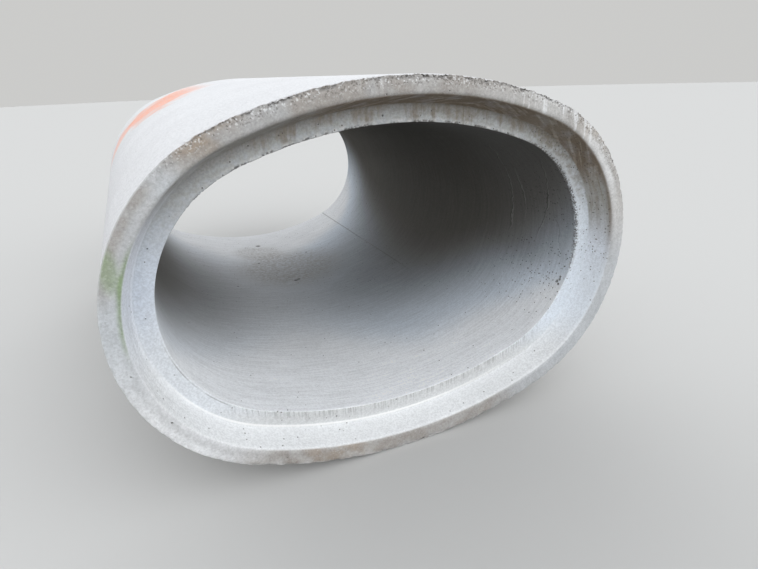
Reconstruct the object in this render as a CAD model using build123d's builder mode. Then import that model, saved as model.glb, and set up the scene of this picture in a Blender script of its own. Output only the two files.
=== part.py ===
"""Horizontal elliptical concrete culvert pipe with a tongue-and-groove joint.

The pipe is cast in one piece. Its bore is the four-arc oval that pipe of this
kind has in place of a true ellipse: two flat arcs for the crown and the invert
and two tight arcs for the sides, all tangent. The wall is equally thick all the
way round, so every surface is an offset of that oval. One long section through
the wall, turned about the centre of each of the four arcs, gives the casting.

The groove end faces -Y and the tongue end faces +Y. The pipe lies on its
invert, with the origin on the ground below the middle of its length.
Millimetres, +Z up.
"""

import math
import os

from build123d import *

INCH = 25.4

# Waterway: clear span and rise, and the radius of its crown and invert
bore_span = 60 * INCH
bore_rise = 38 * INCH
crown_radius = 54.2 * INCH

# Wall, and the length that one pipe adds to a laid line
wall = 5.5 * INCH
laying_length = 96 * INCH

# Groove end: the end face outside the groove, the seat inside it, its depth
lip_width = 2.2 * INCH
seat_width = 2.2 * INCH
groove_depth = 3.875 * INCH

# Tongue end: how far the tongue stands out, and the room round it for sealant when pushed home
tongue_length = 3.5 * INCH
joint_gap = 0.3 * INCH

# Roundings that the joint forms leave; the arrises of the bore and the barrel are sharp
groove_root_rounding = 0.3 * INCH
lip_inner_rounding = 0.4 * INCH
tongue_root_rounding = 0.3 * INCH
nose_rounding = 0.3 * INCH
sharp = 0

# The side arcs touch the span line and run tangent into the crown and invert
half_span = bore_span / 2
half_rise = bore_rise / 2
side_radius = (2 * crown_radius * half_rise - half_span**2 - half_rise**2) / (
    2 * (crown_radius - half_span)
)
side_offset = half_span - side_radius
crown_offset = crown_radius - half_rise
side_half_angle = math.degrees(math.atan2(crown_offset, side_offset))
crown_half_angle = 90 - side_half_angle

# Stations along the axis
total_length = laying_length + tongue_length
lip_y = -total_length / 2
seat_y = lip_y + groove_depth
barrel_end_y = lip_y + laying_length
nose_y = barrel_end_y + tongue_length

# Distances out from the bore. The tongue runs parallel to the groove it enters.
groove_mouth = wall - lip_width
groove_root = seat_width
joint_taper = (groove_mouth - groove_root) / groove_depth
tongue_root = groove_mouth - joint_gap
nose_width = tongue_root - joint_taper * tongue_length

# Height of the axis above the ground, with the invert's outside resting on it
axis_height = half_rise + wall

# The wall cut along its length: each corner's depth out from the bore, station and rounding
wall_section = [
    (0, seat_y, sharp),
    (groove_root, seat_y, groove_root_rounding),
    (groove_mouth, lip_y, lip_inner_rounding),
    (wall, lip_y, sharp),
    (wall, barrel_end_y, sharp),
    (tongue_root, barrel_end_y, tongue_root_rounding),
    (nose_width, nose_y, nose_rounding),
    (0, nose_y, sharp),
]
roundings = [rounding for _, _, rounding in wall_section]

# Each arc of the oval: centre across and above the axis, radius, first angle, angle turned
side_turn = 2 * side_half_angle
crown_turn = 2 * crown_half_angle
arcs = [
    (side_offset, 0, side_radius, -side_half_angle, side_turn),
    (0, -crown_offset, crown_radius, side_half_angle, crown_turn),
    (-side_offset, 0, side_radius, 180 - side_half_angle, side_turn),
    (0, crown_offset, crown_radius, 180 + side_half_angle, crown_turn),
]

with BuildPart() as culvert_pipe:
    for across, above, radius, first_angle, turn in arcs:
        angle = math.radians(first_angle)
        outwards = Vector(math.cos(angle), 0, math.sin(angle))
        along = Vector(0, 1, 0)
        centre = Vector(across, 0, axis_height + above)
        with BuildSketch(Plane(centre, x_dir=outwards, z_dir=outwards.cross(along))):
            with BuildLine():
                corners = [(radius + depth, station) for depth, station, _ in wall_section]
                FilletPolyline(corners, radius=roundings, close=True)
            make_face()
        revolve(axis=Axis(centre, -along), revolution_arc=turn)

culvert_pipe.part.label = "culvert_pipe"

os.makedirs("parts", exist_ok=True)
export_step(culvert_pipe.part, "parts/culvert_pipe.step")

print(
    f"side radius {side_radius:.1f}, axis height {axis_height:.1f}, total length {total_length:.1f} mm, "
    f"concrete {culvert_pipe.part.volume / 1e9:.3f} cubic metres"
)
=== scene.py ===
# %% [markdown]
# # An oval concrete culvert pipe
#
# The pipe is one casting: a thick concrete wall round an oval waterway, with a groove in
# the end that faces us and a tongue at the far end. This lesson builds its visible surface
# just inside the exact model's, wears its edges as years outdoors have, and gives it a
# concrete that is pale on top, stained in the groove and streaked by rain.
#
# The exact model comes in first. Everything after it is in metres, in the same frame:
# Y runs along the pipe, from the groove end to the tongue end, and Z is up.

# %% Load the exact model
import math

import bmesh
import bpy
from mathutils import Matrix, Vector, noise
from mathutils.bvhtree import BVHTree


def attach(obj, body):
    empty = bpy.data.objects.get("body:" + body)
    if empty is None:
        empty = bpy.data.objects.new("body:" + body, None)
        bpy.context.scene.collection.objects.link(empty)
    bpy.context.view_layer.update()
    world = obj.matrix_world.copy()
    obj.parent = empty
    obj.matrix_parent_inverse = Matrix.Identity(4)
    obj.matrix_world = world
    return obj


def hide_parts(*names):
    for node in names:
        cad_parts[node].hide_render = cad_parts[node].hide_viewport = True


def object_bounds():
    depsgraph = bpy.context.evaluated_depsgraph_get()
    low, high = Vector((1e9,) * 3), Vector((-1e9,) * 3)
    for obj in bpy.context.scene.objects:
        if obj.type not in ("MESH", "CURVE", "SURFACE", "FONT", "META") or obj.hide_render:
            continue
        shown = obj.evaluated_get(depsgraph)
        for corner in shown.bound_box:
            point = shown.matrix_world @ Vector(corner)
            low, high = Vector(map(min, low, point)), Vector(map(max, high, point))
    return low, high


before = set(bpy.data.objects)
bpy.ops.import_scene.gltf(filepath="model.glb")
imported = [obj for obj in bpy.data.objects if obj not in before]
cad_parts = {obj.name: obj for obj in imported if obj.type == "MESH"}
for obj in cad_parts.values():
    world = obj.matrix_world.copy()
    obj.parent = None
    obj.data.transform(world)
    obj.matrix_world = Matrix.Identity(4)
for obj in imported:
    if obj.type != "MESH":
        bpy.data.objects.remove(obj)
cad_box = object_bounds()
print("exact model from", tuple(cad_box[0]), "to", tuple(cad_box[1]))

# %% [markdown]
# The size is a standard one: 60 by 38 inches inside, with a wall of five and a half inches.
# The oval isn't an ellipse. It is four arcs that meet without a corner, two flat ones for
# the crown and the invert and two tight ones for the sides, so every surface of the wall is
# the same oval, moved out by some distance. The length comes from the exact model.
#
# The groove narrows from its mouth to its root. The tongue narrows at the same slope and is
# thinner by a small gap, so it enters the groove of the next pipe.

# %% Sizes of the pipe
inch = 0.0254
half_span = 30 * inch
half_rise = 19 * inch
crown_radius = 54.2 * inch
side_radius = (2 * crown_radius * half_rise - half_span**2 - half_rise**2) / (
    2 * (crown_radius - half_span)
)
side_offset = half_span - side_radius
crown_offset = crown_radius - half_rise
side_half_angle = math.atan2(crown_offset, side_offset)
crown_half_angle = math.pi / 2 - side_half_angle

wall = 5.5 * inch
axis_height = half_rise + wall
groove_mouth = 3.3 * inch
groove_root = 2.2 * inch
groove_depth = 3.875 * inch
joint_gap = 0.3 * inch
tongue_length = 3.5 * inch
tongue_root = groove_mouth - joint_gap
nose_width = tongue_root - (groove_mouth - groove_root) / groove_depth * tongue_length

lip_y = cad_box[0].y
nose_y = cad_box[1].y
seat_y = lip_y + groove_depth
shoulder_y = nose_y - tongue_length
print(f"side arcs {side_radius:.3f}, crown {crown_radius:.3f}, axis {axis_height:.3f} above the floor")

# %% [markdown]
# The camera stands a little left of the pipe, 1.4 metres in front of it and at chest
# height, and looks down and to the right. Its place and angles were fitted to the outlines
# of the pipe's end in the photograph, so the render can be laid over it.
#
# A camera looks along its own -Z. Its matrix is made from three directions: right, up and
# backwards. All three angles end up in radians.

# %% Camera
picture_width = 758
picture_height = 569
focal_pixels = 533.4
sensor_width = 36.0
camera_place = Vector((-0.738, lip_y - 1.407, 1.248))
camera_turn = math.radians(23.71)
camera_dip = math.radians(21.62)
camera_roll = -0.0345

level_ahead = Vector((math.sin(camera_turn), math.cos(camera_turn), 0))
ahead = math.cos(camera_dip) * level_ahead - math.sin(camera_dip) * Vector((0, 0, 1))
level_right = Vector((math.cos(camera_turn), -math.sin(camera_turn), 0))
level_up = level_right.cross(ahead)
to_right = math.cos(camera_roll) * level_right + math.sin(camera_roll) * level_up
to_top = math.cos(camera_roll) * level_up - math.sin(camera_roll) * level_right

camera_data = bpy.data.cameras.new("camera")
camera_data.sensor_fit = "HORIZONTAL"
camera_data.sensor_width = sensor_width
camera_data.lens = sensor_width * focal_pixels / picture_width
camera = bpy.data.objects.new("camera", camera_data)
turned_axes = Matrix((to_right, to_top, -ahead)).transposed().to_4x4()
camera.matrix_world = Matrix.Translation(camera_place) @ turned_axes
bpy.context.scene.collection.objects.link(camera)
bpy.context.scene.camera = camera
bpy.context.scene.view_settings.view_transform = "Standard"
print(f"lens {camera_data.lens:.1f} mm")

# %% [markdown]
# Shader maths reads better as Python than as a picture of boxes and wires. One small class
# wraps a node's output. Its operators add Math nodes, so that 1 - mask is a node, and its
# `node` method adds any other kind: first the settings, then the values or wires that its
# sockets take.

# %% Shader maths in Python
class Wire:
    """An output of a shader node, which Python's operators can work on."""

    tree = None

    def __init__(self, socket):
        self.socket = socket

    @classmethod
    def node(cls, kind, settings, inputs, take=0):
        made = cls.tree.nodes.new(kind)
        for name, value in settings.items():
            setattr(made, name, value)
        for name, value in inputs.items():
            if isinstance(value, Wire):
                cls.tree.links.new(value.socket, made.inputs[name])
            else:
                made.inputs[name].default_value = value
        return cls(made.outputs[take])

    def maths(self, operation, *values):
        return self.node("ShaderNodeMath", {"operation": operation}, dict(enumerate((self, *values))))

    def __add__(self, other):
        return self.maths("ADD", other)

    __radd__ = __add__

    def __mul__(self, other):
        return self.maths("MULTIPLY", other)

    __rmul__ = __mul__

    def __sub__(self, other):
        return self.maths("SUBTRACT", other)

    def __rsub__(self, other):
        return self.node("ShaderNodeMath", {"operation": "SUBTRACT"}, {0: other, 1: self})

    def __pow__(self, other):
        return self.maths("POWER", other)

    def __abs__(self):
        return self.maths("ABSOLUTE")

    def other(self, output):
        """Another output of the same node."""
        return Wire(self.socket.node.outputs[output])

    def ramp(self, low, high):
        """Goes smoothly from 0 at low to 1 at high. It falls where low is the greater."""
        inputs = {"Value": self, "From Min": low, "From Max": high}
        return self.node("ShaderNodeMapRange", {"interpolation_type": "SMOOTHSTEP"}, inputs)


def blend(share, first, second):
    """A colour that goes from first to second as share goes from 0 to 1."""
    colours = [each if isinstance(each, Wire) else (*each, 1.0) for each in (first, second)]
    settings = {"data_type": "RGBA", "clamp_factor": True}
    # A Mix node has sockets of every kind. Its colours go in at 6 and 7 and come out at 2.
    return Wire.node("ShaderNodeMix", settings, {0: share, 6: colours[0], 7: colours[1]}, take=2)


def shade(colour, strength):
    """A colour made darker or lighter by a factor."""
    return Wire.node("ShaderNodeVectorMath", {"operation": "SCALE"}, {0: colour, "Scale": strength})


def split_vector(vector):
    """The three numbers of a vector."""
    first = Wire.node("ShaderNodeSeparateXYZ", {}, {0: vector})
    return first, first.other(1), first.other(2)


def new_tree(owner, output_kind):
    """Empties the node tree of a material or world and gives the socket that its shader goes to."""
    owner.use_nodes = True
    owner.node_tree.nodes.clear()
    Wire.tree = owner.node_tree
    return Wire.tree.nodes.new(output_kind).inputs["Surface"]


print("shader maths ready")

# %% [markdown]
# The ground is a plain pale floor that runs to a pale backdrop. The light is that of a
# bright overcast day, stronger from low in front of the pipe and behind it than from above.
# It could come from lamps, but a sky whose strength depends on the direction gives softer
# shade inside the bore. A pale floor would throw light up into the bore, so only the camera
# sees it pale; for the light that bounces it is as dark as soil.

# %% Floor and light
floor_radius = 40
floor_shape = bmesh.new()
bmesh.ops.create_circle(floor_shape, cap_ends=True, segments=96, radius=floor_radius)
floor_mesh = bpy.data.meshes.new("floor")
floor_shape.to_mesh(floor_mesh)
floor_shape.free()
floor = bpy.data.objects.new("floor", floor_mesh)
bpy.context.scene.collection.objects.link(floor)

floor_seen = (0.60, 0.60, 0.59)
floor_bounce = (0.13, 0.12, 0.10)
floor_material = bpy.data.materials.new("floor")
surface = new_tree(floor_material, "ShaderNodeOutputMaterial")
seen = Wire.node("ShaderNodeLightPath", {}, {}, take="Is Camera Ray")
floor_shader = Wire.node("ShaderNodeBsdfDiffuse", {}, {"Color": blend(seen, floor_bounce, floor_seen)})
Wire.tree.links.new(floor_shader.socket, surface)
floor_mesh.materials.append(floor_material)

zenith = 0.42
horizon_gain = 0.68
front_gain = 1.50
back_gain = 1.8
sky_tint = (0.985, 1.0, 1.02)
sky_backdrop = (0.60, 0.60, 0.59)
world = bpy.data.worlds.new("sky")
bpy.context.scene.world = world
surface = new_tree(world, "ShaderNodeOutputWorld")
direction = Wire.node("ShaderNodeTexCoord", {}, {}, take="Generated")
to_east, to_back, to_sky = split_vector(direction)
open_front = (0.2 * to_east - 0.98 * to_back).ramp(0.1, 0.9)
open_back = to_back.ramp(0.3, 0.9)
strength = zenith + horizon_gain * (1 - to_sky) + front_gain * open_front + back_gain * open_back
seen = Wire.node("ShaderNodeLightPath", {}, {}, take="Is Camera Ray")
sky_colour = blend(seen, shade(sky_tint, strength), sky_backdrop)
sky = Wire.node("ShaderNodeBackground", {}, {"Color": sky_colour})
Wire.tree.links.new(sky.socket, surface)
print("floor and sky ready")

# %% [markdown]
# ## The casting
#
# The wall is drawn once, as an outline cut along the pipe at its right side. Eight corners
# make it. The joint forms leave four of them round, and the arrises are nearly sharp.

# %% Outline of the wall
arris = 0.003
joint_rounding = 0.3 * inch
mouth_rounding = 0.4 * inch
corners = [
    (0, seat_y, arris),
    (groove_root, seat_y, joint_rounding),
    (groove_mouth, lip_y, mouth_rounding),
    (wall, lip_y, arris),
    (wall, shoulder_y, arris),
    (tongue_root, shoulder_y, joint_rounding),
    (nose_width, nose_y, joint_rounding),
    (0, nose_y, arris),
]
casting = bmesh.new()
outline = [casting.verts.new((half_span + out, station, axis_height)) for out, station, _ in corners]
casting.faces.new(outline)
for corner, (_, _, rounding) in zip(outline, corners):
    bmesh.ops.bevel(
        casting, geom=[corner], offset=rounding, segments=3, profile=0.5, affect="VERTICES", material=-1
    )
bmesh.ops.delete(casting, geom=list(casting.faces), context="FACES_ONLY")
print(len(casting.verts), "points round the outline")

# %% [markdown]
# The long edges of the barrel and the bore get points before the turn. Their gaps are small
# at the ends, where the concrete is chipped, and grow by the same share from both. The short
# edges of the end faces and the joint are divided evenly, and those of the roundings, under
# two centimetres, stay whole.

# %% Points along the outline
def graded(start, end, first_gap, last_gap, growth):
    """Stations between start and end, whose gaps grow from both ends until they meet."""
    low, high = start + first_gap, end - last_gap
    while low < high:
        if first_gap <= last_gap:
            yield low
            first_gap *= growth
            low += first_gap
        else:
            yield high
            last_gap *= growth
            high -= last_gap


def cut_at(stations, is_wanted):
    """Adds a point at each station to the edge that crosses it, where the edge is a wanted one."""
    for station in stations:
        edges = [edge for edge in casting.edges if all(is_wanted(point.co.x) for point in edge.verts)]
        points = {point for edge in edges for point in edge.verts}
        bmesh.ops.bisect_plane(
            casting, geom=[*points, *edges], dist=1e-7, plane_co=(0, station, 0), plane_no=(0, 1, 0)
        )


face_gap = 0.0048
groove_gap = 0.008
tongue_gap = 0.03
slack = 0.0001
barrel_x = half_span + wall - slack
bore_x = half_span + slack
short_edges = [edge for edge in casting.edges if 0.02 < edge.calc_length() < 0.2]
for edge in short_edges:
    rise = abs(edge.verts[0].co.x - edge.verts[1].co.x)
    run = abs(edge.verts[0].co.y - edge.verts[1].co.y)
    gap = tongue_gap if edge.verts[0].co.y > 0 else groove_gap if run > rise else face_gap
    bmesh.ops.subdivide_edges(casting, edges=[edge], cuts=round(edge.calc_length() / gap))
barrel_stations = graded(lip_y + arris, shoulder_y - arris, first_gap=0.005, last_gap=0.02, growth=1.8)
bore_stations = graded(seat_y + arris, nose_y - arris, first_gap=0.004, last_gap=0.012, growth=1.6)
cut_at(barrel_stations, lambda x: x > barrel_x)
cut_at(bore_stations, lambda x: x < bore_x)
print(len(casting.verts), "points round the divided outline")

# %% [markdown]
# A spin copies the outline step by step about an axis and joins the copies with faces. Each
# step costs more as the mesh grows, so only a quarter of the oval is turned: half a side arc
# and then half the crown, which starts from the last copy. Two mirrors make the rest.

# %% Turn a quarter of the oval and mirror it
step_length = 0.0094
side_steps = round(side_half_angle * (side_radius + wall / 2) / step_length)
crown_steps = round(crown_half_angle * (crown_radius + wall / 2) / step_length)
side_arc = (side_offset, 0, side_half_angle, side_steps)
crown_arc = (0, -crown_offset, crown_half_angle, crown_steps)
turned = [*casting.verts, *casting.edges]
for centre_x, rise, angle, steps in (side_arc, crown_arc):
    made = bmesh.ops.spin(
        casting,
        geom=turned,
        cent=(centre_x, 0, axis_height + rise),
        axis=(0, -1, 0),
        angle=angle,
        steps=steps,
        use_merge=False,
        use_duplicate=False,
    )
    turned = made["geom_last"]
for axis, place in (("X", Vector()), ("Z", Vector((0, 0, -axis_height)))):
    everything = [*casting.verts, *casting.edges, *casting.faces]
    bmesh.ops.mirror(casting, geom=everything, matrix=Matrix.Translation(place), merge_dist=0, axis=axis)
bmesh.ops.remove_doubles(casting, verts=list(casting.verts), dist=1e-5)
bmesh.ops.recalc_face_normals(casting, faces=list(casting.faces))
print(len(casting.faces), "faces,", f"{casting.calc_volume(signed=True):.3f} cubic metres")

# %% [markdown]
# ## Wear
#
# All that follows asks the same question of a point: how far out from the bore is it? The
# oval's arcs answer it. The point belongs to the arc whose sector it lies in.

# %% How far out a point is
def away_from_bore(point):
    """A point's distance out from the bore's surface, and its height above the axis."""
    across, height = point.x, point.z - axis_height
    if abs(across) * crown_offset < side_offset * (abs(height) + crown_offset):
        return math.hypot(across, abs(height) + crown_offset) - crown_radius, height
    return math.hypot(abs(across) - side_offset, height) - side_radius, height


def ramp(value, low, high):
    """The same smooth step as Wire.ramp, for plain numbers."""
    share = min(1, max(0, (value - low) / (high - low)))
    return share * share * (3 - 2 * share)


print("a point on the lip is", round(away_from_bore(Vector((0.9, lip_y, axis_height)))[0], 3), "out")

# %% [markdown]
# Rain, frost and handling have broken the top of the lip's outer arris, down to the stones
# in the concrete. The edge of the bore crumbles too, on the right and along the top. The
# mesh is too coarse for that, so its edges there are divided once more.

# %% Finer mesh where the arrises are broken
def runs_round(edge):
    """Whether an edge follows the oval, at one distance out and one station."""
    first, second = (point.co for point in edge.verts)
    return (
        abs(first.y - second.y) < 1e-5
        and abs(away_from_bore(first)[0] - away_from_bore(second)[0]) < 1e-4
    )


front_end = seat_y + 0.03
front_edges = [edge for edge in casting.edges if edge.verts[0].co.y < front_end and runs_round(edge)]
bmesh.ops.subdivide_edges(casting, edges=front_edges, cuts=1)
print(len(casting.faces), "faces with the groove end divided")


def arris_wear(point):
    """How worn the lip's outer arris and the bore's arris are at this place round the oval."""
    _, height = away_from_bore(point)
    crown = ramp(height, 0.40, 0.56)
    right = ramp(point.x, 0.35, 0.6) * ramp(height, 0.05, 0.25)
    invert = ramp(height, -0.44, -0.56)
    outer = max(crown, 0.6 * right, 0.5 * invert)
    inner = max(ramp(height, 0.25, 0.40), ramp(point.x, 0.55, 0.7) * ramp(height, -0.25, -0.05))
    return outer, inner


def arris_distances(point):
    """How far a point is from the lip's outer arris, and from the bore's arris at the seat."""
    out, _ = away_from_bore(point)
    return math.hypot(wall - out, point.y - lip_y), math.hypot(out, point.y - seat_y)


def is_broken(edge):
    """Whether an edge lies where one of the two arrises is broken."""
    middle = (edge.verts[0].co + edge.verts[1].co) / 2
    if middle.y > front_end or middle.z < axis_height / 2:
        return False
    outer, inner = arris_wear(middle)
    from_outer, from_inner = arris_distances(middle)
    return (outer > 0.3 and from_outer < 0.026) or (inner > 0.5 and from_inner < 0.014)


broken_edges = [edge for edge in casting.edges if is_broken(edge)]
bmesh.ops.subdivide_edges(casting, edges=broken_edges, cuts=1, use_grid_fill=True)
print(len(casting.faces), "faces after dividing", len(broken_edges), "edges")

# %% [markdown]
# Each point then moves into the concrete along its normal, never out, so the piece stays
# inside the exact model. `noise.voronoi` gives the distance to the nearest of many scattered
# stones: between the stones the mortar is gone, and the stones stand. A float layer keeps
# how dark each point is painted, for the finish to read: dirt and painted shade in the gaps
# of the broken arrises.
#
# Two marks of the form belong here as well: a shallow seam along the lower right of the
# bore, where two plates of the inner form met, and a torn line at the lower left of the
# bore's edge. The seam follows a column of points, so that a move of one column draws it.

# %% Break the arrises and roughen the faces
stone_size = 0.011
small_stone_size = 0.008
outer_reach = 0.03
inner_reach = 0.02
skin_depth = 0.0005
tooth_depth = 0.0026
seam_depth = 0.0012
seam_start = -0.35
seam_whole = 0.2
seam_column = 59
seam_angle = side_half_angle * seam_column / side_steps
seam_sine, seam_cosine = math.sin(seam_angle), math.cos(seam_angle)
tear_depth = 0.0014
grime_and_shade = casting.verts.layers.float.new("grime_and_shade")


def between_stones(point, size):
    """0 on a stone and 1 in the mortar between stones."""
    distances, _ = noise.voronoi(point / size)
    return ramp(distances[0], 0.25, 0.62)


def wear_depth(point):
    """How much concrete is gone at a point, and how dark it is painted there, for dirt and shade."""
    out, height = away_from_bore(point)
    outer, inner = arris_wear(point)
    from_outer, from_inner = arris_distances(point)
    depth = skin_depth * (1 + noise.noise(point / 0.3))
    darkening = 0
    if from_outer < outer_reach:
        spalled = ramp(noise.noise(point / 0.045), -0.25, 0.35)
        band = 0.007 + 0.017 * outer
        near = ramp(from_outer, band, 0.15 * band)
        stones = between_stones(point, stone_size)
        teeth = tooth_depth * ramp(noise.noise(point / 0.009), -0.2, 0.5)
        depth += near * (teeth + outer * (0.0012 + 0.0045 * spalled) * (0.25 + stones))
        darkening = near * outer * stones * (0.4 + 0.6 * spalled)
    if from_inner < inner_reach:
        near = ramp(from_inner, 0.014, 0.002)
        stones = between_stones(point, small_stone_size)
        right = ramp(point.x, 0.5, 0.65)
        crumbled = ramp(noise.noise(point / 0.035), -0.3 - 0.3 * right, 0.3)
        depth += near * (0.0006 + (0.0040 + 0.0035 * right) * inner * stones * crumbled)
        darkening = near * inner * stones * crumbled
        torn = ramp(point.x, -0.58, -0.64) * ramp(height, -0.06, -0.12)
        depth += torn * ramp(from_inner, 0.011, 0.006) * tear_depth
    from_seam = abs((point.x - side_offset) * seam_sine + height * seam_cosine)
    if abs(out) < slack and from_seam < 0.002 and point.x > side_offset:
        depth += seam_depth * ramp(point.y, seam_start, seam_whole)
    return depth, darkening


casting.normal_update()
moves = []
for point in casting.verts:
    depth, darkening = wear_depth(point.co)
    moves.append((point, point.normal * depth, darkening))
for point, move, darkening in moves:
    point.co -= move
    point[grime_and_shade] = darkening
print(f"deepest wear {max(move.length for _, move, _ in moves) * 1000:.1f} mm")

# %% [markdown]
# Air bubbles that stayed against the form are open holes now, some millimetres wide. Their
# places were read off the photograph, as pixels across and down. A ray from the
# camera through such a pixel meets the mesh, and the nearest point of the mesh becomes the
# hole. A bevel of the point alone opens it: a low profile bows the new edges away from the
# point, so two segments to a side make it round. An inset then sinks it.

# %% Bug holes
holes_at_left = ((147, 249), (145, 319), (174, 376), (221, 413), (131, 377), (248, 146))
holes_at_top = ((318, 124), (386, 94), (450, 91), (432, 111), (484, 118))
holes_at_right = ((567, 160), (572, 178), (581, 232), (588, 246), (596, 205), (522, 345), (481, 370))
holes_below = ((281, 421), (350, 417), (388, 407), (355, 438), (287, 458), (450, 411))
larger_holes = ((337, 416), (383, 116), (172, 424))
hole_radius = 0.0024
hole_depth = 0.005


def points_seen_at(pixels):
    """The points of the mesh nearest to what the camera sees at some pixels."""
    surface_tree = BVHTree.FromBMesh(casting)
    casting.faces.ensure_lookup_table()
    found = set()
    for across_picture, down_picture in pixels:
        right = (across_picture - picture_width / 2) / focal_pixels
        down = (down_picture - picture_height / 2) / focal_pixels
        spot, _, face, _ = surface_tree.ray_cast(camera_place, ahead + right * to_right - down * to_top)
        found.add(min(casting.faces[face].verts, key=lambda point: (point.co - spot).length))
    return list(found)


def sink_holes(pixels, radius):
    """Opens a round hole of this radius at each pixel and paints it fully dark, as painted shade in its
    depth.
    """
    points = points_seen_at(pixels)
    opened = bmesh.ops.bevel(
        casting, geom=points, offset=radius, segments=2, profile=0.08, affect="VERTICES", material=-1
    )
    bmesh.ops.inset_region(casting, faces=opened["faces"], thickness=radius / 4, depth=-hole_depth)
    # Painted shade: the hole's points are set full in the layer, which paints them dark.
    for face in opened["faces"]:
        for point in face.verts:
            point[grime_and_shade] = 1
    return len(points)


small_count = sink_holes(holes_at_left + holes_at_top + holes_at_right + holes_below, hole_radius)
large_count = sink_holes(larger_holes, 1.6 * hole_radius)
print(small_count, "small holes and", large_count, "larger ones,", len(casting.faces), "faces")

# %% [markdown]
# The shape is finished, so it becomes an object of the scene. Smooth shading hides the steps
# of the turn, and the arrises stay crisp because their roundings have faces of their own.

# %% The finished piece
pipe_mesh = bpy.data.meshes.new("culvert_pipe_casting")
casting.to_mesh(pipe_mesh)
casting.free()
pipe_mesh.shade_smooth()
pipe = bpy.data.objects.new("culvert_pipe_casting", pipe_mesh)
bpy.context.scene.collection.objects.link(pipe)
print("the casting has", len(pipe_mesh.polygons), "faces and", len(pipe_mesh.vertices), "points")

# %% [markdown]
# ## The concrete
#
# The finish has to know which face of the wall it is on, so it asks the same question as
# the wear did: how far out from the bore is this point? Here the answer is a tree of Math
# nodes. Each face of the wall is then a mask made of smooth steps.

# %% Where the finish is on the wall
concrete = bpy.data.materials.new("concrete")
surface = new_tree(concrete, "ShaderNodeOutputMaterial")
place = Wire.node("ShaderNodeTexCoord", {}, {}, take="Object")
across, along, level = split_vector(place)
height = level - axis_height


def hypotenuse(first, second):
    """The same as math.hypot, for wires."""
    return (first * first + second * second).maths("SQRT")


on_crown = (abs(across) * crown_offset).maths("LESS_THAN", (abs(height) + crown_offset) * side_offset)
out_of_side = hypotenuse(abs(across) - side_offset, height) - side_radius
out_of_crown = hypotenuse(across, abs(height) + crown_offset) - crown_radius
out = out_of_side + on_crown * (out_of_crown - out_of_side)
depth_in = along - lip_y

before_seat = depth_in.ramp(groove_depth + 0.012, groove_depth + 0.009)
on_lip = depth_in.ramp(0.011, 0.003) + before_seat * out.ramp(wall - 0.02, wall - 0.03)
in_mouth = before_seat * out.ramp(groove_mouth + 0.004, groove_mouth - 0.002)
on_seat = in_mouth * depth_in.ramp(groove_depth - 0.009, groove_depth - 0.002)
on_bore = out.ramp(0.004, 0.001) * depth_in.ramp(groove_depth - 0.001, groove_depth + 0.003)
print(len(Wire.tree.nodes), "nodes say where the finish is")

# %% [markdown]
# Concrete is pale and bluish where the form left a skin of fine mortar, and browner where
# rain has washed the skin off. Noise at several sizes breaks every tone up: clouds as wide
# as a hand, patches like a fingertip, and the grain of the sand. Noise on a stretched place
# turns into streaks, and Voronoi cells give stones and pits.

# %% Noise, streaks and specks
def cloudy(vector, scale, detail=3.0, roughness=0.55):
    """Soft noise round 0.5, in patches about 1 / scale metres wide."""
    inputs = {"Vector": vector, "Scale": scale, "Detail": detail, "Roughness": roughness}
    return Wire.node("ShaderNodeTexNoise", {}, inputs, take="Fac")


def stretched(along_x, along_y, along_z):
    """The place, stretched so that noise on it turns into streaks."""
    factors = (along_x, along_y, along_z)
    return Wire.node("ShaderNodeVectorMath", {"operation": "MULTIPLY"}, {0: place, 1: factors})


def spot(x, z, radius, core=0.3):
    """A soft round mask about a line along the pipe, x across and z above the axis."""
    return hypotenuse(across - x, height - z).ramp(radius, core * radius)


on_left = across.ramp(0.3, -0.3)
broad = cloudy(place, 3, detail=2)
wide = cloudy(place, 8, detail=2).ramp(0.35, 0.65)
patchy = cloudy(place, 16).ramp(0.32, 0.68)
mottled = cloudy(place, 62, detail=2).ramp(0.32, 0.68)
grain = cloudy(place, 150, detail=2, roughness=0.7).ramp(0.33, 0.67)
down_streaks = cloudy(stretched(1, 0.5, 0.07), 55, detail=2).ramp(0.32, 0.68)
fine_streaks = cloudy(stretched(1, 0.5, 0.05), 95, detail=2).ramp(0.35, 0.65)

stone_cells = Wire.node("ShaderNodeTexVoronoi", {}, {"Vector": place, "Scale": 230}, take="Color")
stone_tone, _, _ = split_vector(stone_cells)
pale_stones = stone_tone.ramp(0.84, 0.90)
dark_stones = stone_tone.ramp(0.16, 0.10)

pore_distance = Wire.node("ShaderNodeTexVoronoi", {}, {"Vector": place, "Scale": 85}, take="Distance")
pore_luck, _, _ = split_vector(pore_distance.other("Color"))


def pores(size, share):
    """Round pits in some share of the cells. Their size is measured in widths of a cell."""
    return pore_distance.ramp(size, 0.6 * size) * pore_luck.maths("LESS_THAN", share)


def blot(x, y, above_axis, radius):
    """A soft round mark at one place."""
    centre = (x, y, axis_height + above_axis)
    away = Wire.node("ShaderNodeVectorMath", {"operation": "DISTANCE"}, {0: place, 1: centre}, take="Value")
    return away.ramp(radius, 0.4 * radius)


print(len(Wire.tree.nodes), "nodes with the noise")

# %% [markdown]
# ### The barrel
#
# The sky has bleached it nearly white. A spray can left one soft patch of marking paint on
# its far left shoulder. The tongue is greyer, as it came out of a form of its own.

# %% The barrel
barrel_white = (0.68, 0.687, 0.703)
soil = (0.42, 0.385, 0.34)
marking_paint = (0.86, 0.28, 0.12)
tongue_pale = (0.60, 0.615, 0.63)
tongue_grey = (0.44, 0.44, 0.43)

soiled = height.ramp(-0.42, -0.62) * (0.2 + patchy)
barrel_colour = blend(soiled, barrel_white, soil)
barrel_colour = shade(barrel_colour, 0.90 + 0.16 * grain + 0.06 * mottled - 0.12 * dark_stones)

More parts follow.
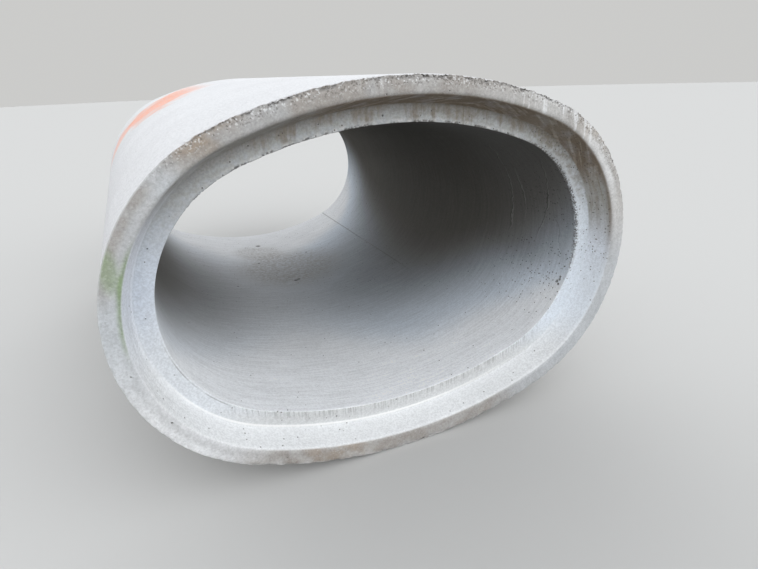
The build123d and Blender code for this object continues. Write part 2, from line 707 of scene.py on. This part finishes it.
paint_place = along + 0.16 * (wide - 0.5)
paint_start = 0.48 - 0.32 * height.ramp(0.38, 0.46) + 0.40 * height.ramp(0.49, 0.62)
paint_end = 0.80 + 0.30 * height.ramp(0.48, 0.58)
sprayed = (paint_place - paint_start).ramp(-0.14, 0.24) * (paint_place - paint_end).ramp(0.14, -0.16)
sprayed = sprayed * height.ramp(0.15, 0.32) * height.ramp(0.62, 0.54) * across.ramp(-0.22, -0.36)
barrel_colour = blend(sprayed * (0.50 + 0.3 * mottled), barrel_colour, marking_paint)

on_tongue = along.ramp(shoulder_y - 0.003, shoulder_y + 0.001)
tongue_colour = blend(0.25 + 0.4 * patchy + soiled, tongue_pale, tongue_grey)
tongue_colour = shade(tongue_colour, 0.87 + 0.18 * grain + 0.06 * mottled - 0.25 * pores(0.22, 0.06))
barrel_colour = blend(on_tongue, barrel_colour, tongue_colour)
print(len(Wire.tree.nodes), "nodes with the barrel")

# %% [markdown]
# ### The end face
#
# Rain has washed the top of it down to sand and small stones. Lime has run down in pale
# streaks at the upper right, and green algae grow where the left side stays damp.

# %% The end face
lip_pale = (0.71, 0.72, 0.735)
lip_left = (0.51, 0.535, 0.56)
lip_right = (0.50, 0.495, 0.485)
lip_right_low = (0.47, 0.49, 0.51)
lip_sandy = (0.325, 0.305, 0.285)
lip_brown = (0.32, 0.30, 0.28)
rust_brown = (0.32, 0.25, 0.18)
lime = (0.72, 0.73, 0.74)
algae = (0.25, 0.325, 0.20)
pit_dark = (0.10, 0.09, 0.08)

outer_half = out.ramp(wall - 0.036, wall - 0.018)
lower_left = height.ramp(0.02, -0.30) * across.ramp(0.1, -0.3)
right_colour = blend(height.ramp(0.15, -0.12), lip_right, lip_right_low)
lip_colour = blend(across.ramp(-0.2, 0.2), lip_left, right_colour)
lip_colour = blend(lower_left, lip_colour, lip_pale)
# Painted shade: the inner half of the lower left is darkened along the groove's edge.
lip_colour = shade(lip_colour, 1 - 0.18 * lower_left * (1 - outer_half))

washed_top = height.ramp(0.36, 0.50) * (1 - 0.95 * across.ramp(0.30, 0.48)) * (0.55 + 0.6 * wide)
lip_colour = blend(washed_top, lip_colour, lip_sandy)
washed_left = (spot(-0.87, 0.22, 0.16) + spot(-0.77, 0.35, 0.11)) * (0.65 + 0.7 * outer_half)
washed_left = washed_left + spot(-0.62, 0.46, 0.08)
washed_right = spot(0.61, 0.47, 0.06) + 0.9 * spot(0.78, 0.30, 0.26) * outer_half
# Darker and browner towards the bottom of the end face.
browner_bottom = height.ramp(-0.38, -0.52) * across.ramp(-0.78, -0.48) * (1 - 0.8 * across.ramp(0.30, 0.50))
browned = 0.65 * (washed_left + washed_right) + browner_bottom
lip_colour = blend(browned * (0.65 + 0.4 * patchy), lip_colour, lip_brown)
tinted_left = spot(-0.58, 0.49, 0.10) * (0.4 + 0.8 * outer_half)
tinted = tinted_left + 0.6 * spot(0.70, 0.42, 0.12) + 0.6 * spot(-0.30, -0.60, 0.20)
lip_colour = blend(0.7 * tinted * patchy, lip_colour, rust_brown)
limed = 0.4 * spot(-0.12, 0.61, 0.06) + spot(0.55, 0.46, 0.26)
lip_colour = blend(0.8 * limed * down_streaks.ramp(0.5, 0.9), lip_colour, lime)
lime_skin = (spot(0.76, 0.32, 0.22) + 0.6 * spot(0.30, 0.57, 0.12)) * (1 - outer_half)
lip_colour = blend(lime_skin * (0.2 + 0.3 * wide), lip_colour, lime)

algae_patch = hypotenuse(across + 0.85, 0.42 * (height - 0.19)).ramp(0.036, 0.012)
algae_edge = (out - groove_mouth).ramp(0.018, 0.004) * height.ramp(-0.10, 0.06) * height.ramp(0.27, 0.19)
algae_here = (0.75 * algae_patch + algae_edge * across.ramp(0, -0.1)) * (0.65 + 0.35 * patchy)
lip_colour = blend(algae_here, lip_colour, algae)

weathered_rim = out.ramp(wall - 0.042, wall - 0.010) * (height + 0.2 * across.ramp(0.5, 0.7)).ramp(0.36, 0.54)
lip_colour = blend(pale_stones * (0.10 + 0.52 * weathered_rim), lip_colour, lime)
lip_colour = blend(dark_stones * (0.09 + 0.60 * weathered_rim), lip_colour, pit_dark)
lip_colour = shade(lip_colour, 0.83 + 0.18 * grain + 0.07 * mottled + 0.05 * down_streaks + 0.06 * wide)
pale_rim = height.ramp(0.50, 0.36) * on_left + height.ramp(-0.05, -0.25)
lip_colour = blend(0.45 * pale_rim * out.ramp(wall - 0.005, wall - 0.001), lip_colour, lime)
print(len(Wire.tree.nodes), "nodes with the end face")

# %% [markdown]
# ### The groove
#
# Rain can't wash its ceiling, so it is brown there, with lighter scratches that run slanting
# into the joint. At the right the stain comes further down, in bands that follow the groove.

# %% The groove
groove_blue = (0.74, 0.78, 0.85)
groove_white = (0.785, 0.80, 0.81)
groove_sky = (0.79, 0.84, 0.90)
groove_brown = (0.21, 0.166, 0.122)
groove_grey = (0.35, 0.345, 0.325)
groove_scratch = (0.40, 0.355, 0.30)
band_grey = (0.42, 0.42, 0.40)

from_middle = abs(across - 0.25)
slanting = (0.5 * from_middle - 0.87 * along) * 70
slant_run = (0.87 * from_middle + 0.5 * along) * 9
slant_place = Wire.node("ShaderNodeCombineXYZ", {}, {0: slanting, 1: slant_run})
slant_lines = cloudy(slant_place, 1, detail=1).ramp(0.46, 0.68) * (0.35 + 0.5 * mottled)
ceiling_colour = blend(slant_lines + 0.3 * spot(0.54, 0.45, 0.15), groove_brown, groove_scratch)
ceiling_colour = blend(0.9 * across.ramp(-0.15, -0.45), ceiling_colour, groove_grey)

stain_level = height + 0.30 * across.ramp(0.35, 0.75)
groove_stain = stain_level.ramp(0.25 - 0.10 * on_left, 0.45 + 0.04 * on_left) * (0.85 + 0.3 * patchy)
bands = cloudy(stretched(0.06, 1, 0.06), 70, detail=2)
band_share = across.ramp(0.45, 0.65) * (0.45 + 0.55 * bands.ramp(0.36, 0.60)) * height.ramp(0.31, 0.19)
stained_colour = blend(band_share, ceiling_colour, band_grey)
low_colour = blend(across.ramp(0, 0.4) * height.ramp(-0.42, -0.25), groove_white, groove_sky)
groove_colour = blend(height.ramp(0.12, -0.20), groove_blue, low_colour)
groove_colour = blend(groove_stain, groove_colour, stained_colour)
left_lines = bands.ramp(0.50, 0.60) * on_left * height.ramp(0.3, 0.2) * height.ramp(-0.4, -0.2)
groove_colour = shade(groove_colour, 0.88 + 0.18 * grain + 0.06 * mottled - 0.08 * left_lines)
groove_pits = pores(0.28, 0.50 * across.ramp(0.45, 0.62) * height.ramp(-0.25, -0.05) + 0.03)
groove_colour = blend(0.8 * groove_pits, groove_colour, pit_dark)
# Darker near the groove's mouth at the right.
darker_mouth_edge = depth_in.ramp(0.030, 0.008) * across.ramp(0.20, 0.45) * height.ramp(-0.15, 0.10)
groove_colour = blend(0.5 * darker_mouth_edge, groove_colour, groove_brown)
print(len(Wire.tree.nodes), "nodes with the groove")

# %% [markdown]
# ### The seat
#
# Brown water has run from the groove down over the upper part of the seat. The stain is
# longest where most water ran, so noise of the place across sets how far it reaches.

# %% The seat
seat_left = (0.53, 0.575, 0.64)
seat_left_low = (0.62, 0.645, 0.675)
seat_right = (0.65, 0.70, 0.755)
seat_bottom = (0.54, 0.55, 0.552)
seat_brown = (0.225, 0.20, 0.165)
seat_grey = (0.36, 0.365, 0.355)
seat_shaded = (0.25, 0.245, 0.235)
root_white = (0.88, 0.88, 0.87)

left_colour = blend(height.ramp(0.10, -0.15), seat_left, seat_left_low)
seat_colour = blend(across.ramp(-0.2, 0.5), left_colour, seat_right)
seat_colour = blend(height.ramp(-0.30, -0.45), seat_colour, seat_bottom)
run_length = cloudy(stretched(1, 1, 0.06), 16, detail=4, roughness=0.65)
reach = 0.060 * run_length.ramp(0.36, 0.66)
run_off = (out - groove_root + reach).ramp(-0.020, 0.024) * (0.30 + 0.45 * fine_streaks + 0.25 * mottled)
run_off = run_off * height.ramp(0.25, 0.42) * across.ramp(-0.65, -0.30)
seat_colour = blend(height.ramp(0.10, 0.38) * (0.6 + 0.4 * mottled), seat_colour, seat_grey)
root_shade = out.ramp(0.012, 0.050) * height.ramp(0.26, 0.42) * across.ramp(0.60, 0.48)
seat_colour = blend(0.6 * root_shade, seat_colour, seat_shaded)
seat_colour = blend(run_off, seat_colour, seat_brown)
near_bore = out.ramp(0.018, 0.006) * height.ramp(0.30, 0.42)
seat_colour = blend(0.5 * near_bore * mottled, seat_colour, lime)
smeared = out.ramp(0.010, 0.034) * across.ramp(0.42, 0.56) * height.ramp(0.08, 0.24)
seat_colour = blend(smeared * (0.15 + 0.45 * mottled), seat_colour, seat_brown)
comb = cloudy(stretched(1, 0.1, 0.05), 170, detail=0).ramp(0.50, 0.60)
combed = comb * height.ramp(-0.32, -0.38) * out.ramp(0.044, 0.004)
seat_colour = shade(seat_colour, 0.87 + 0.19 * grain + 0.07 * mottled - 0.24 * combed)
edge_pits = 0.5 * out.ramp(0.016, 0.003) * (height.ramp(0.25, 0.40) + across.ramp(0.62, 0.70))
root_pits = 0.6 * out.ramp(0.030, 0.048) * across.ramp(0.48, 0.60) * height.ramp(0.10, 0.20)
right_pits = 0.25 * across.ramp(0.3, 0.6) * height.ramp(-0.25, 0.0)
seat_pits = pores(0.26, right_pits + edge_pits + root_pits + 0.03)
seat_colour = blend(0.85 * seat_pits, seat_colour, pit_dark)
torn_line = abs(out - 0.007).ramp(0.0025, 0.0008) * across.ramp(-0.56, -0.62) * height.ramp(-0.06, -0.12)
torn_line = torn_line * height.ramp(-0.36, -0.32) * patchy
seat_colour = blend(0.5 * torn_line, seat_colour, pit_dark)
root_line = abs(out - groove_root + 0.002).ramp(0.005, 0.001) * height.ramp(-0.10, -0.30)
seat_colour = blend(0.6 * root_line * across.ramp(0.7, 0), seat_colour, root_white)
print(len(Wire.tree.nodes), "nodes with the seat")

# %% [markdown]
# ### The bore
#
# Dust lies pale on the invert. The rest of the bore's colour is painted shade: it darkens
# towards the crown and the middle of the pipe, where little light reaches, and some of that
# dark is damp. How shaded the wall is painted depends mostly on its height, and the middle of
# the invert is painted darker and browner, for dirt and shade. The inner form has left fine
# rings all the way along.

# %% The bore
bore_pale = (0.885, 0.905, 0.93)
bore_cool = (0.91, 0.98, 1.06)
bore_painted_shade = (0.080, 0.074, 0.063)
mouth_painted_shade = (0.105, 0.10, 0.092)
bore_dirt_and_shade = (0.24, 0.21, 0.17)

# Painted shade: this level sets how dark the bore is painted. It is darker towards the crown and the middle
# of the pipe, and paler near the mouth and at the right haunch.
bore_shade_level = 0.30 + (0.63 + 0.07 * along) * height - 0.20 * along * along
bore_shade_level = bore_shade_level - (0.04 - 0.05 * along) * on_left + 0.04 * (broad - 0.5)
shaded_middle = along.ramp(-0.6, 0) * along.ramp(1.2, 0.8) * (1 - 0.6 * on_left)
bore_shade_level = bore_shade_level + (0.08 + 0.12 * height) * shaded_middle - 0.015 * along.ramp(-0.8, -1.1)
paler_haunch = across.ramp(0.2, 0.6) * along.ramp(-0.3, -0.9) * height.ramp(-0.08, -0.24)
bore_shade_level = bore_shade_level - 0.04 * paler_haunch + 0.02 * across.ramp(-0.3, -0.6)
pale_share = (1 - bore_shade_level.ramp(-0.17, 0.25)) ** 1.6
bore_colour = blend(pale_share, blend(along.ramp(-0.4, -1.1), bore_painted_shade, mouth_painted_shade), bore_pale)
cooled_colour = Wire.node("ShaderNodeVectorMath", {"operation": "MULTIPLY"}, {0: bore_colour, 1: bore_cool})
bore_colour = blend((pale_share * (1 - pale_share)).ramp(0, 0.22) * (1 - 0.6 * on_left), bore_colour, cooled_colour)
# Painted shade with dirt: the middle of the invert is painted darker and browner.
dirt_and_shade = blot(0.02, 0.42, -0.48, 0.42) + 0.6 * blot(-0.10, 0.80, -0.48, 0.20)
dirt_and_shade = dirt_and_shade + 0.2 * pale_share * along.ramp(0.5, 1.1)
bore_colour = blend(0.68 * dirt_and_shade * (0.3 + 0.6 * mottled), bore_colour, bore_dirt_and_shade)
rings = cloudy(stretched(0.06, 1, 0.06), 120, detail=1).ramp(0.3, 0.7)
bore_colour = shade(bore_colour, 0.85 + 0.15 * grain + 0.12 * rings + 0.06 * mottled)
print(len(Wire.tree.nodes), "nodes with the bore")

# %% [markdown]
# Some rings near the mouth are bolder: a dark line, with a faint pale one before it. The
# seam of the form is dark too, and so are some spots of dirt, which lie where the photograph
# shows them.

# %% Marks in the bore
bore_mark = (0.05, 0.048, 0.042)


def ring_mark(station, slope, low, high):
    """A dark line with a pale one before it, round the right of the bore between two heights."""
    away = along - station - slope * height - 0.016 * (patchy - 0.5)
    within = height.ramp(low - 0.12, low) * height.ramp(high + 0.10, high) * across.ramp(0.2, 0.5)
    return abs(away).ramp(0.0035, 0.0008) * within, abs(away + 0.006).ramp(0.004, 0.001) * within


line_one, glint_one = ring_mark(-0.767, -0.09, 0.02, 0.28)
line_two, glint_two = ring_mark(-0.965, -0.36, 0.04, 0.24)
line_three, glint_three = ring_mark(-0.86, 0, 0.10, 0.17)
line_four, _ = ring_mark(-1.075, 0.35, 0.0, 0.02)
ring_lines = line_one + line_two + 0.6 * line_three + 0.4 * line_four
ring_glints = glint_one + glint_two + glint_three
from_seam = abs((across - side_offset) * seam_sine + height * seam_cosine)
seam_fade = along.ramp(seam_start, seam_whole) * across.ramp(side_offset, side_offset + 0.05)
seam = from_seam.ramp(0.005, 0.001) * seam_fade
bore_colour = blend(0.18 * ring_glints, bore_colour, band_grey)
bore_colour = blend(0.7 * (ring_lines + 0.7 * seam), bore_colour, bore_mark)

dark_spots = (
    (-0.06, 0.97, -0.48, 0.022),
    (-0.15, 0.95, -0.47, 0.011),
    (-0.14, 0.58, -0.48, 0.013),
    (-0.01, 0.19, -0.48, 0.016),
    (0.01, 0.20, -0.48, 0.014),
    (0.19, 0.63, -0.47, 0.010),
    (0.12, -0.33, -0.48, 0.006),
    (-0.35, 0.14, -0.44, 0.009),
    (0.718, -1.143, -0.185, 0.007),
    (0.722, -1.131, -0.177, 0.009),
    (0.727, -1.140, -0.167, 0.008),
    (0.731, -1.138, -0.158, 0.007),
)
spotted = blot(*dark_spots[0])
for dark_spot in dark_spots[1:]:
    spotted = spotted + blot(*dark_spot)
right_mouth = across.ramp(0.55, 0.72) * along.ramp(-0.6, -1.0)
bore_specks = pores(0.28, 0.50 * right_mouth + 0.05 * along.ramp(-0.4, 0.4) + 0.015)
bore_colour = blend(0.9 * (bore_specks + spotted * (0.6 + 0.6 * grain)), bore_colour, bore_mark)
print(len(Wire.tree.nodes), "nodes with the marks in the bore")

# %% [markdown]
# ### All faces together
#
# The masks lay the faces over each other, from the barrel inwards. Dirt and painted shade
# come next: the vertex layer of the wear says where they are, in the gaps of the broken
# arrises and in the holes. Last are small dark chips along the right of the bore's arris.

# %% Join the faces
colour = blend(on_lip, barrel_colour, lip_colour)
colour = blend(in_mouth, colour, groove_colour)
colour = blend(on_seat, colour, seat_colour)
colour = blend(on_bore, colour, bore_colour)
colour = shade(colour, 0.92 + 0.16 * broad)
grime_and_shade_share = Wire.node("ShaderNodeAttribute", {"attribute_name": "grime_and_shade"}, {}, take="Fac")
# Dirt and painted shade from the wear's layer: dark in the gaps of the broken arrises and in the holes.
colour = blend(0.75 * grime_and_shade_share.ramp(0.15, 0.9), colour, pit_dark)
bore_arris = hypotenuse(out, depth_in - groove_depth).ramp(0.019, 0.005)
chips = cloudy(place, 150, detail=1).ramp(0.48, 0.55) * across.ramp(0.42, 0.60) * height.ramp(-0.20, 0.0)
colour = blend(0.9 * bore_arris * chips, colour, pit_dark)
print(len(Wire.tree.nodes), "nodes with all faces")

# %% [markdown]
# The grain of the sand and the fine rings are too small for the mesh, so a Bump node turns
# them into relief. Then the colour, the relief and a high roughness go into one shader.

# %% Relief and shader
relief_depth = 0.0008
relief = grain + on_bore * rings
bump = Wire.node("ShaderNodeBump", {}, {"Strength": 0.4, "Distance": relief_depth, "Height": relief})
roughness = 0.84 + 0.12 * mottled
inputs = {"Base Color": colour, "Roughness": roughness, "Normal": bump}
shader = Wire.node("ShaderNodeBsdfPrincipled", {}, inputs)
Wire.tree.links.new(shader.socket, surface)
pipe_mesh.materials.append(concrete)
print(len(Wire.tree.nodes), "nodes in the concrete")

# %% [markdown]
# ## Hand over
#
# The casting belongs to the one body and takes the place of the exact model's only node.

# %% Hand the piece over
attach(pipe, "root")
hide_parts("culvert_pipe")
